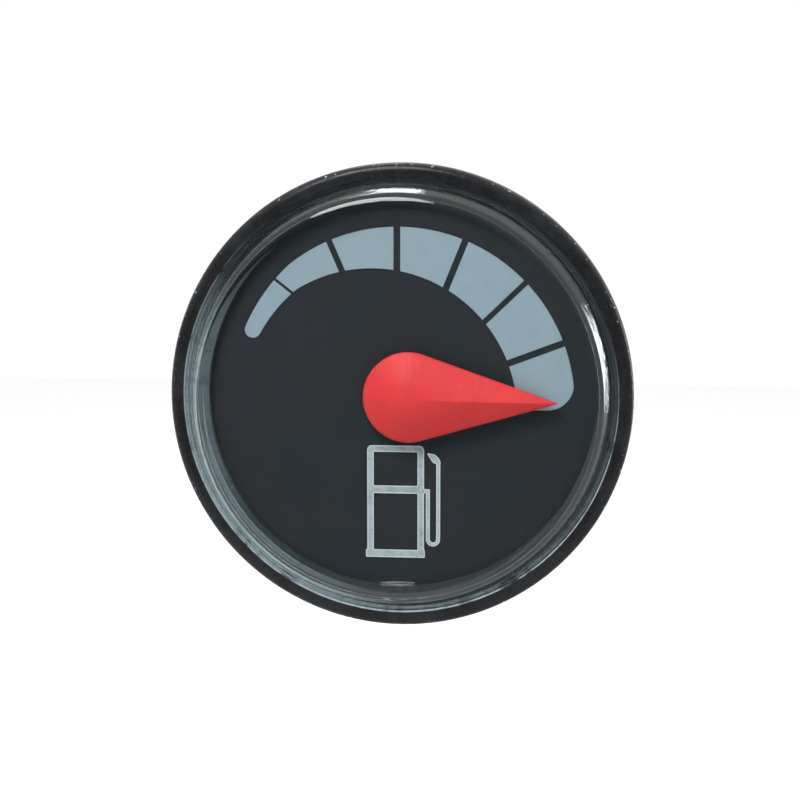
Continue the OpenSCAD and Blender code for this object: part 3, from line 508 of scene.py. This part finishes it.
tree, shader = finish(
    "clear_acrylic", LENS_TINT, 0.015, Transmission_Weight=1.0, IOR=1.49, Specular_IOR_Level=0.5,
)
wall = mask(tree, worn_rim, Radius=WALL_R, Width=WALL_WIDTH)
hairs = mask(tree, scratches, Scale=260, Width=0.02, Angle=0.3)
mask_roughness(tree, shader, times(tree, wall, hairs), 0.15)
waves = mask(tree, blotches, Scale=1100, Low=0.35, High=0.7)
bump(tree, shader, times(tree, wall, waves), 0.008, strength=0.8)
let_lamps_through(tree, shader, LENS_TINT)

# %% [markdown]
# The dial is a plate sprayed satin black. Sun and damp have left it a little uneven, with cooler, greener
# patches and a few fine specks. The scale is printed on it in a flat blue-grey.

# %% Dial and scale
tree, shader = finish("dial_black", paint(45, 46, 50), 0.6, Specular_IOR_Level=0.1)
mask_colour(tree, shader, mask(tree, blotches, Scale=70, Low=0.42, High=0.62), paint(40, 47, 50))
mask_colour(tree, shader, mask(tree, blotches, Scale=3800, Low=0.7, High=0.76), paint(64, 68, 70))

tree, shader = finish("print_grey_blue", paint(147, 165, 175), 0.55)
mask_colour(tree, shader, mask(tree, blotches, Scale=420, Low=0.4, High=0.75), paint(142, 160, 170))

# %% [markdown]
# The pump is printed in a paler, more worn ink, palest along the rims of its strokes. Neither a distance nor
# a noise can tell where the rims run, so the finish reads an attribute that the pump's own mesh carries.

# %% Ink of the pump
tree, shader = finish("print_pale_grey", paint(174, 183, 188), 0.5)
mask_colour(tree, shader, mask(tree, blotches, Scale=700, Low=0.42, High=0.72), paint(144, 157, 163))
mask_colour(tree, shader, mask(tree, blotches, Scale=2600, Low=0.6, High=0.7), paint(112, 122, 128))
ink_rim = add(tree, "ShaderNodeAttribute", attribute_name="ink_rim").outputs["Fac"]
mask_colour(tree, shader, ink_rim, paint(216, 223, 227))

# %% [markdown]
# The pointer is moulded in a satin red plastic. A hint of the dye's streaks runs across it, and light
# passes a little way into it.

# %% Red plastic
tree, shader = finish(
    "red_plastic", paint(232, 60, 62), 0.45, Subsurface_Weight=0.1, Subsurface_Scale=0.5 * MM,
    Specular_IOR_Level=0.2,
)
mask_colour(tree, shader, mask(tree, blotches, Scale=260, Low=0.35, High=0.7), paint(224, 60, 62))
mask_colour(tree, shader, mask(tree, scratches, Scale=180, Width=0.012, Angle=1.6), paint(238, 72, 74))
mask_roughness(tree, shader, mask(tree, blotches, Scale=900, Low=0.4, High=0.7), 0.5)
bump(tree, shader, mask(tree, blotches, Scale=2600, Low=0.2, High=0.8), 0.01)

# %% [markdown]
# The rest of the finishes follow three recipes, so that most of them are one line. The first is for what is
# moulded or painted: a colour with darker blotches, a fine grain, and dust on what faces up.


# %% Moulded and painted finishes
DUST_COLOUR = paint(150, 148, 142)


def moulded(slot, colour, shade, roughness, grain_mm, dusty=0.0):
    tree, shader = finish(slot, colour, roughness)
    mask_colour(tree, shader, mask(tree, blotches, Scale=240, Low=0.4, High=0.65), shade)
    if dusty:
        mask_colour(tree, shader, mask(tree, dust, Scale=1100, Low=0.4, High=1.4 - dusty), DUST_COLOUR)
    duller = min(roughness + 0.15, 1)
    mask_roughness(tree, shader, mask(tree, blotches, Scale=700, Low=0.35, High=0.7), duller)
    bump(tree, shader, mask(tree, blotches, Scale=3000, Low=0.2, High=0.8), grain_mm)


moulded("black_rubber", paint(30, 30, 31), paint(44, 44, 45), 0.7, 0.03, dusty=0.5)
moulded("black_plastic", paint(33, 33, 35), paint(26, 26, 28), 0.45, 0.015, dusty=0.4)
moulded("white_plastic", paint(226, 225, 218), paint(214, 212, 202), 0.45, 0.012)
moulded("natural_plastic", paint(216, 208, 184), paint(202, 192, 166), 0.45, 0.012)
moulded("board_brown", paint(112, 78, 38), paint(92, 62, 28), 0.4, 0.03)
moulded("resistor_body", paint(190, 164, 118), paint(176, 148, 102), 0.35, 0.01)
moulded("brown_phenolic", paint(62, 42, 32), paint(40, 28, 24), 0.38, 0.02, dusty=0.4)
moulded("ferrite", paint(72, 72, 76), paint(56, 56, 60), 0.55, 0.02)

# %% [markdown]
# The seal and the retaining ring under the lens are dark, with a pale glow of painted light on one side. Seen
# through the lens's wall they give it its pale band on one side, drawn in fine rings.


# %% Seal and retaining ring
def sealing(slot, colour, bleached, roughness, **side):
    tree, shader = finish(slot, colour, roughness)
    streaks = mask(tree, blotches, Scale=1100, Low=0.1, High=0.55)
    # Painted light: the pale colour on one side stands in for the glow that the lens's wall gathers.
    mask_colour(tree, shader, times(tree, mask(tree, one_side, **side), streaks), bleached)
    mask_colour(tree, shader, mask(tree, turning_marks, Rings_per_metre=1400), colour)
    mask_roughness(tree, shader, streaks, roughness + 0.2)
    bump(tree, shader, mask(tree, blotches, Scale=3000, Low=0.2, High=0.8), 0.02)


sealing("grey_rubber", paint(40, 48, 51), paint(196, 222, 227), 0.6)
sealing(
    "grey_plastic", paint(40, 46, 49), paint(116, 134, 140), 0.5,
    Towards_X=-1.0, Towards_Z=0.0, Low=0.74, High=1.0,
)

# %% [markdown]
# A plated or bare metal has scratches in place of the grain, and a turned one has turning marks as well. Its
# colour drifts only slowly, over centimetres, as a film of oxide does.


# %% Metals
def metal(slot, colour, shade, roughness, turned=False):
    tree, shader = finish(slot, colour, roughness, metallic=1.0)
    mask_colour(tree, shader, mask(tree, blotches, Scale=90, Low=0.3, High=1.0), shade)
    mask_roughness(tree, shader, mask(tree, blotches, Scale=420, Low=0.3, High=0.9), roughness + 0.1)
    hairs = mask(tree, scratches, Scale=420, Width=0.012, Angle=0.9)
    mask_roughness(tree, shader, hairs, roughness + 0.25)
    bump(tree, shader, hairs, 0.006)
    if turned:
        bump(tree, shader, mask(tree, turning_marks, Rings_per_metre=3200), 0.01)


metal("brass", paint(196, 164, 100), paint(150, 120, 68), 0.3, turned=True)
metal("polished_steel", paint(198, 200, 203), paint(176, 178, 182), 0.18)
metal("plated_steel", paint(182, 184, 184), paint(150, 150, 146), 0.32)
metal("case_steel", paint(170, 171, 169), paint(140, 139, 133), 0.4, turned=True)
metal("tinned_metal", paint(192, 191, 184), paint(160, 156, 144), 0.32)
metal("enamelled_copper", paint(180, 98, 54), paint(148, 76, 42), 0.32)
metal("tungsten", paint(150, 150, 154), paint(120, 120, 126), 0.35)

# %% [markdown]
# The bulb's glass is thin and clear, with a grey breath of use inside.

# %% Bulb glass
BULB_TINT = (0.97, 0.98, 0.97, 1)

tree, shader = finish("bulb_glass", BULB_TINT, 0.03, Transmission_Weight=1.0, IOR=1.5)
mask_roughness(tree, shader, mask(tree, blotches, Scale=500, Low=0.5, High=0.8), 0.12)
let_lamps_through(tree, shader, BULB_TINT)
print("finishes:", len(finishes))

# %% [markdown]
# Every solid of the frame carries the name of its material slot, so each gets its finish in one loop.

# %% Finishes on the solids
for solid in frame["nodes"].values():
    for place in solid.material_slots:
        place.material = finishes[place.material.name.split(".")[0]]
print("dressed:", len(frame["nodes"]))

# %% [markdown]
# A new piece is a mesh that stands in for a solid. It is closed, faces outwards, and is smooth except along
# its real corners. It rides on the same body and takes the finish of the same slot. Weighted normals keep
# flat faces flat right up to a bevel, where plain smooth shading would let them look swollen.


# %% A helper that ends every piece
SHARP = math.radians(38)
WELD = 0.002 * MM


def put(shape, name, node, sharp=SHARP):
    bmesh.ops.remove_doubles(shape, verts=shape.verts, dist=WELD)
    bmesh.ops.recalc_face_normals(shape, faces=shape.faces)
    for line in shape.edges:
        line.smooth = len(line.link_faces) == 2 and line.calc_face_angle() < sharp
    for face in shape.faces:
        face.smooth = True
        face.material_index = 0
    mesh = bpy.data.meshes.new(name)
    open_lines = sum(not line.is_manifold for line in shape.edges)
    shape.to_mesh(mesh)
    shape.free()
    piece = bpy.data.objects.new(name, mesh)
    studio.collection.objects.link(piece)
    solid = frame["nodes"][node]
    mesh.materials.append(solid.material_slots[0].material)
    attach(piece, solid["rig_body"])
    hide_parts(node)
    shading = piece.modifiers.new("even_shading", "WEIGHTED_NORMAL")
    shading.keep_sharp = True
    print(f"{name}: {len(mesh.polygons)} faces, {open_lines} open lines")


# %% [markdown]
# Turned pieces are drawn as half a section: each corner has its distance from the axis, its height towards
# the viewer and the radius of its rounding, in millimetres. Vertex bevel rounds the corners of the bare
# outline, and spin carries it round the axis. A stack of rings would do too, but in a section every radius
# can be read and changed.

# %% Helpers for turned pieces
TURN_STEPS = 192
ROUND_STEPS = 6


def turned(section):
    shape = bmesh.new()
    points = [shape.verts.new((radius * MM, -height * MM, 0)) for radius, height, _ in section]
    for here, there in zip(points, points[1:]):
        shape.edges.new((here, there))
    if all(radius > 0 for radius, _, _ in section):
        shape.edges.new((points[-1], points[0]))
    for rounding in sorted({corner[2] for corner in section} - {0}):
        chosen = [point for point, corner in zip(points, section) if corner[2] == rounding]
        bmesh.ops.bevel(
            shape, geom=chosen, offset=rounding * MM, offset_type="OFFSET", segments=ROUND_STEPS,
            profile=0.5, affect="VERTICES", material=-1,
        )
    bmesh.ops.spin(
        shape, geom=shape.verts[:] + shape.edges[:], cent=(0, 0, 0), axis=(0, 1, 0), angle=math.tau,
        steps=TURN_STEPS, use_merge=True,
    )
    return shape


def section_of(node):
    low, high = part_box(node)
    return high.x / MM, -high.y / MM, -low.y / MM


# %% [markdown]
# The bezel is a strip of sheet rolled over the lens in front and under the case's flange behind. Its front
# edge is a soft quarter round, which is where the thin highlight runs.

# %% Bezel
SHEET = 0.5
LIP = 1.9
HOOK = 2.4
FRONT_ROUND = 1.1
BACK_ROUND = 0.5
INSIDE_ROUND = 0.5
LIP_ROUND = 0.2
HOOK_ROUND = 0.15
FOLD_ROUND = 0.1

rim_r, rim_back, rim_front = section_of("bezel_ring")
bezel = turned([
    (rim_r - HOOK, rim_back, HOOK_ROUND), (rim_r, rim_back, BACK_ROUND), (rim_r, rim_front, FRONT_ROUND),
    (rim_r - LIP, rim_front, LIP_ROUND), (rim_r - LIP, rim_front - SHEET, 0),
    (rim_r - SHEET, rim_front - SHEET, INSIDE_ROUND), (rim_r - SHEET, rim_back + SHEET, FOLD_ROUND),
    (rim_r - HOOK, rim_back + SHEET, HOOK_ROUND),
])
put(bezel, "rolled_bezel", "bezel_ring")

# %% [markdown]
# The lens is one thick moulding. Its side wall leans in and rolls over into the flat front, so each softbox
# draws one bright streak along it. A real wall, with an outer and an inner face, bends the view there.
# It is pressed so hard on its grey rubber seal that the two touch as if wet: the lens reaches a hair into
# the seal, and the rubber's colour fills the wall from below, pale on the side where light is painted on.

# %% Lens
FOOT_R = 27.0
TOP_R = 25.0
INNER_FOOT_R = 24.9
INNER_TOP_R = 24.6
FLANGE = 1.5
FRONT = 1.5
SHOULDER = 1.1
FOOT_ROUND = 0.25
FLANGE_ROUND = 0.1
INNER_ROUND = 0.08
PRESS = 0.02

flange_r, lens_back, lens_front = section_of("lens")
seat = lens_back - PRESS
lens = turned([
    (0, lens_front, 0), (TOP_R, lens_front, SHOULDER), (FOOT_R, lens_back + FLANGE, FOOT_ROUND),
    (flange_r, lens_back + FLANGE, FLANGE_ROUND), (flange_r, seat, FLANGE_ROUND),
    (INNER_FOOT_R, seat, FLANGE_ROUND), (INNER_TOP_R, lens_front - FRONT, INNER_ROUND),
    (0, lens_front - FRONT, 0),
])
put(lens, "lens_cap", "lens")

# %% [markdown]
# The gasket behind the bezel is a plain moulded ring of black rubber with softened corners, the roundest one
# at its outer edge on the panel.

# %% Gasket
GASKET_IN_R = 26.25
GASKET_ROUND = 0.15
GASKET_SEAT_ROUND = 0.3

gasket_r, gasket_back, gasket_front = section_of("panel_gasket")
gasket = turned([
    (GASKET_IN_R, gasket_back, GASKET_ROUND), (gasket_r, gasket_back, GASKET_SEAT_ROUND),
    (gasket_r, gasket_front, GASKET_ROUND), (GASKET_IN_R, gasket_front, GASKET_ROUND),
])
put(gasket, "rubber_gasket", "panel_gasket")

# %% [markdown]
# Other pieces are drawn flat, facing up, and are then stood up to face the viewer.


# %% A helper that turns a flat drawing to the viewer
def face_viewer(shape, angle=0.0):
    reading = Matrix.Rotation(angle, 3, "Z")
    upright = Matrix.Rotation(math.pi / 2, 3, "X")
    bmesh.ops.rotate(shape, verts=shape.verts, cent=(0, 0, 0), matrix=reading)
    bmesh.ops.rotate(shape, verts=shape.verts, cent=(0, 0, 0), matrix=upright)


# %% [markdown]
# The pointer is one red moulding: a round hub and a straight taper to a fine tip. A circle whose front part
# is merged into one point is just that outline. Its long sides are cut into short ones for the dome to come.

# %% The pointer's outline
HUB_R = 5.66 * MM
HUB_AHEAD = 1.0 * MM
POINTER_LENGTH = 19.7 * MM
HUB_STEPS = 192
TAPER_CUTS = 30

pointer = bmesh.new()
bmesh.ops.create_circle(pointer, segments=HUB_STEPS, radius=HUB_R)
tip = Vector((POINTER_LENGTH - HUB_AHEAD, 0, 0))
tangent = math.acos(HUB_R / tip.x)
front_part = [corner for corner in pointer.verts if abs(math.atan2(corner.co.y, corner.co.x)) < tangent]
bmesh.ops.pointmerge(pointer, verts=front_part, merge_co=tip)
taper = [line for line in pointer.edges if line.calc_length() > HUB_R]
bmesh.ops.subdivide_edges(pointer, edges=taper, cuts=TAPER_CUTS)
underside = pointer.edges[:]
print("corners of the outline:", len(pointer.verts))

# %% [markdown]
# The outline is raised again and again, each time drawn in towards the hub's middle, which makes a low dome
# with a ridge running out to the tip. Smoothing its heights softens the ridge, as on any moulding. A
# subdivided block would give a dome as well, but it would round the tip away.

# %% The pointer's dome
EDGE_HEIGHT = 0.8 * MM
EDGE_ROUND = 0.12 * MM
DOME_STEPS = 16
DOME_CURVE = 1.25
RIDGE_PASSES = 80
RIDGE_SOFTENING = 0.5

pointer_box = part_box("pointer")
dome_height = pointer_box[1].y - pointer_box[0].y - EDGE_HEIGHT


def raise_ring(shape, ring, draw_in, height):
    grown = bmesh.ops.extrude_edge_only(shape, edges=ring)["geom"]
    corners = [part for part in grown if isinstance(part, bmesh.types.BMVert)]
    for corner in corners:
        corner.co.x *= draw_in
        corner.co.y *= draw_in
        corner.co.z = height
    return [part for part in grown if isinstance(part, bmesh.types.BMEdge) and all(
        end in corners for end in part.verts)]


ring = raise_ring(pointer, underside, 1, EDGE_HEIGHT - EDGE_ROUND)
ring = raise_ring(pointer, ring, 1 - EDGE_ROUND / HUB_R, EDGE_HEIGHT)
for step in range(1, DOME_STEPS):
    left, before = 1 - step / DOME_STEPS, 1 - (step - 1) / DOME_STEPS
    ring = raise_ring(pointer, ring, left / before, EDGE_HEIGHT + dome_height * (1 - left ** DOME_CURVE))
bmesh.ops.contextual_create(pointer, geom=ring)
dome = [corner for corner in pointer.verts if corner.co.z > EDGE_HEIGHT + WELD]
for _ in range(RIDGE_PASSES):
    bmesh.ops.smooth_vert(pointer, verts=dome, factor=RIDGE_SOFTENING, use_axis_z=True)
print("dome of", len(pointer.faces), "faces")

# %% [markdown]
# Underneath, a round bore takes the brass bush. The bore's rim and the outline are two loops, and
# bridge_loops lays the flat underside between them. A cut with a cylinder would give the same hole, but
# ragged faces round it.

# %% The pointer's bore
BORE_R = 1.4 * MM
BORE_DEPTH = 2.3 * MM
BORE_STEPS = 64
HUB_BELOW = 0.12 * MM

bore = bmesh.ops.create_circle(pointer, segments=BORE_STEPS, radius=BORE_R)["verts"]
bmesh.ops.translate(pointer, verts=bore, vec=(-HUB_AHEAD, HUB_BELOW, 0))
mouth = list({line for corner in bore for line in corner.link_edges})
bmesh.ops.bridge_loops(pointer, edges=underside + mouth)
bore_end = raise_ring(pointer, mouth, 1, BORE_DEPTH)
bmesh.ops.contextual_create(pointer, geom=bore_end)
bmesh.ops.translate(pointer, verts=pointer.verts, vec=(HUB_AHEAD, -HUB_BELOW, -pointer_box[1].y))
print("faces with the bore:", len(pointer.faces))

# %% [markdown]
# The pointer is turned to its reading and stood up. Its ridge is meant to be soft, so only an angle much
# steeper than usual counts as a sharp edge here.

# %% The pointer in place
POINTER_REST = math.radians(-1.6)
POINTER_SHARP = math.radians(70)

face_viewer(pointer, POINTER_REST)
put(pointer, "red_pointer", "pointer", sharp=POINTER_SHARP)

# %% [markdown]
# The pump is a screen print. The ink is squeezed out towards the edges of the stencil, so each stroke is
# thicker and paler along its rim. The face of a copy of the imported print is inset, and an attribute that is
# one on the rim and nought inside tells the finish where the rim is.

# %% Pump
INK_RIM = 0.2 * MM
INK_DIP = 0.02 * MM

ink = bmesh.new()
ink.from_mesh(frame["nodes"]["pump_symbol"].data)
bmesh.ops.remove_doubles(ink, verts=ink.verts, dist=WELD)
front_y = min(corner.co.y for corner in ink.verts)
ink_face = [face for face in ink.faces if all(corner.co.y < front_y + WELD for corner in face.verts)]
bmesh.ops.inset_region(
    ink, faces=ink_face, thickness=INK_RIM, depth=-INK_DIP, use_boundary=True, use_even_offset=True,
)
rim_layer = ink.verts.layers.float.new("ink_rim")
rim = [corner for corner in ink.verts if corner.co.y < front_y + WELD]
for corner in rim:
    corner[rim_layer] = 1.0
print("corners on the rim:", len(rim), "of", len(ink.verts))
put(ink, "printed_pump", "pump_symbol")

# %% [markdown]
# The pieces behind the panel are stamped, drawn or moulded, and none of them has a knife edge. The packed
# solid already has the right shape, so a copy of its mesh is merged, its flat faces are joined up, and every
# real corner gets a small bevel that catches the light.


# %% A helper that softens a copy of a solid
FLAT = math.radians(0.5)
CORNER = math.radians(30)
BEVEL_STEPS = 2


def softened(node, width_mm):
    shape = bmesh.new()
    shape.from_mesh(frame["nodes"][node].data)
    bmesh.ops.remove_doubles(shape, verts=shape.verts, dist=WELD)
    bmesh.ops.dissolve_limit(shape, angle_limit=FLAT, verts=shape.verts, edges=shape.edges)
    corners = [line for line in shape.edges if line.is_manifold and line.calc_face_angle() > CORNER]
    bmesh.ops.bevel(
        shape, geom=corners, offset=width_mm * MM, offset_type="OFFSET", segments=BEVEL_STEPS,
        profile=0.5, affect="EDGES", clamp_overlap=True, material=-1,
    )
    return shape


# %% [markdown]
# Each piece has its own softness. The knurled nuts are only deburred, so that their fine teeth stay crisp,
# while steel that is drawn or bent over a tool has wider rounds.

# %% Drawn case, bent clamp, washers and nuts
put(softened("case_shell", 0.2), "drawn_case", "case_shell")
put(softened("mounting_clamp", 0.15), "bent_clamp", "mounting_clamp")
put(softened("spring_washers", 0.1), "split_washers", "spring_washers")
put(softened("stud_nuts", 0.25), "hexagon_nuts", "stud_nuts")
put(softened("left_thumb_nut", 0.12), "left_knurled_nut", "left_thumb_nut")
put(softened("right_thumb_nut", 0.12), "right_knurled_nut", "right_thumb_nut")

# %% [markdown]
# Plastic will not fill a sharp corner of its mould, so the two mouldings have the widest rounds. The four
# tabs are stamped alike, and one loop makes them.

# %% Terminals and lamp holder
put(softened("terminal_block", 0.5), "moulded_block", "terminal_block")
for use in ("supply", "sender", "earth", "lamp"):
    put(softened(use + "_blade", 0.12), use + "_tab", use + "_blade")
put(softened("lamp_holder", 0.2), "pressed_holder", "lamp_holder")
put(softened("lamp_insulator", 0.4), "moulded_plug", "lamp_insulator")

# %% [markdown]
# The studs are threaded rods. One tooth of the thread is four points, and a spin that also climbs one pitch
# per turn sweeps it into a helix, whose turns meet and are merged. A bump in the finish would be cheaper, but
# the rod's outline would stay smooth, and a screw is known by its outline.

# %% The thread
PITCH = 0.7 * MM
ROOT_R = 1.62 * MM
CREST_START = 0.6
CREST_END = 0.45
TURN_CUTS = 24
SPARE_TURNS = 2

stud_low, stud_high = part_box("mounting_studs")
stud_r = (stud_high.z - stud_low.z) / 2
stud_length = stud_high.y - stud_low.y
turns = math.ceil(stud_length / PITCH) + SPARE_TURNS
studs = bmesh.new()
tooth = [studs.verts.new(point) for point in (
    (ROOT_R, 0, -PITCH), (stud_r, 0, -CREST_START * PITCH), (stud_r, 0, -CREST_END * PITCH), (ROOT_R, 0, 0),
)]
for here, there in zip(tooth, tooth[1:]):
    studs.edges.new((here, there))
bmesh.ops.spin(
    studs, geom=studs.verts[:] + studs.edges[:], cent=(0, 0, 0), axis=(0, 0, 1), angle=math.tau * turns,
    dvec=(0, 0, PITCH / TURN_CUTS), steps=TURN_CUTS * turns, use_merge=False,
)
bmesh.ops.remove_doubles(studs, verts=studs.verts, dist=WELD)
print("turns of thread:", turns)

# %% [markdown]
# The helix is longer than the rod and open at both ends. Two flat cuts take off what is spare, a face closes
# each cut, and what reaches out too far near the lower end is drawn in to a chamfer.

# %% The ends of the rod
STUD_CHAMFER = 0.4 * MM

for height, side in ((PITCH, -1), (PITCH + stud_length, 1)):
    cut = bmesh.ops.bisect_plane(
        studs, geom=studs.verts[:] + studs.edges[:] + studs.faces[:], plane_co=(0, 0, height),
        plane_no=(0, 0, side), clear_outer=True,
    )["geom_cut"]
    bmesh.ops.contextual_create(studs, geom=[part for part in cut if isinstance(part, bmesh.types.BMEdge)])
for corner in studs.verts:
    allowed = ROOT_R - STUD_CHAMFER / 2 + corner.co.z - PITCH
    reach = corner.co.xy.length
    if reach > allowed:
        corner.co.x *= allowed / reach
        corner.co.y *= allowed / reach
print("faces of one stud:", len(studs.faces))

# %% [markdown]
# The rod is laid down behind the case, and a copy is moved across to the other side. A mirror would give the
# copy a left-hand thread, which no real pair of studs has.

# %% The studs in place
stud_x = stud_high.x - stud_r

face_viewer(studs)
bmesh.ops.translate(studs, verts=studs.verts, vec=(stud_x, stud_high.y + PITCH, 0))
second = bmesh.ops.duplicate(studs, geom=studs.verts[:] + studs.edges[:] + studs.faces[:])["geom"]
moved = [part for part in second if isinstance(part, bmesh.types.BMVert)]
bmesh.ops.translate(studs, verts=moved, vec=(-2 * stud_x, 0, 0))
put(studs, "threaded_studs", "mounting_studs")
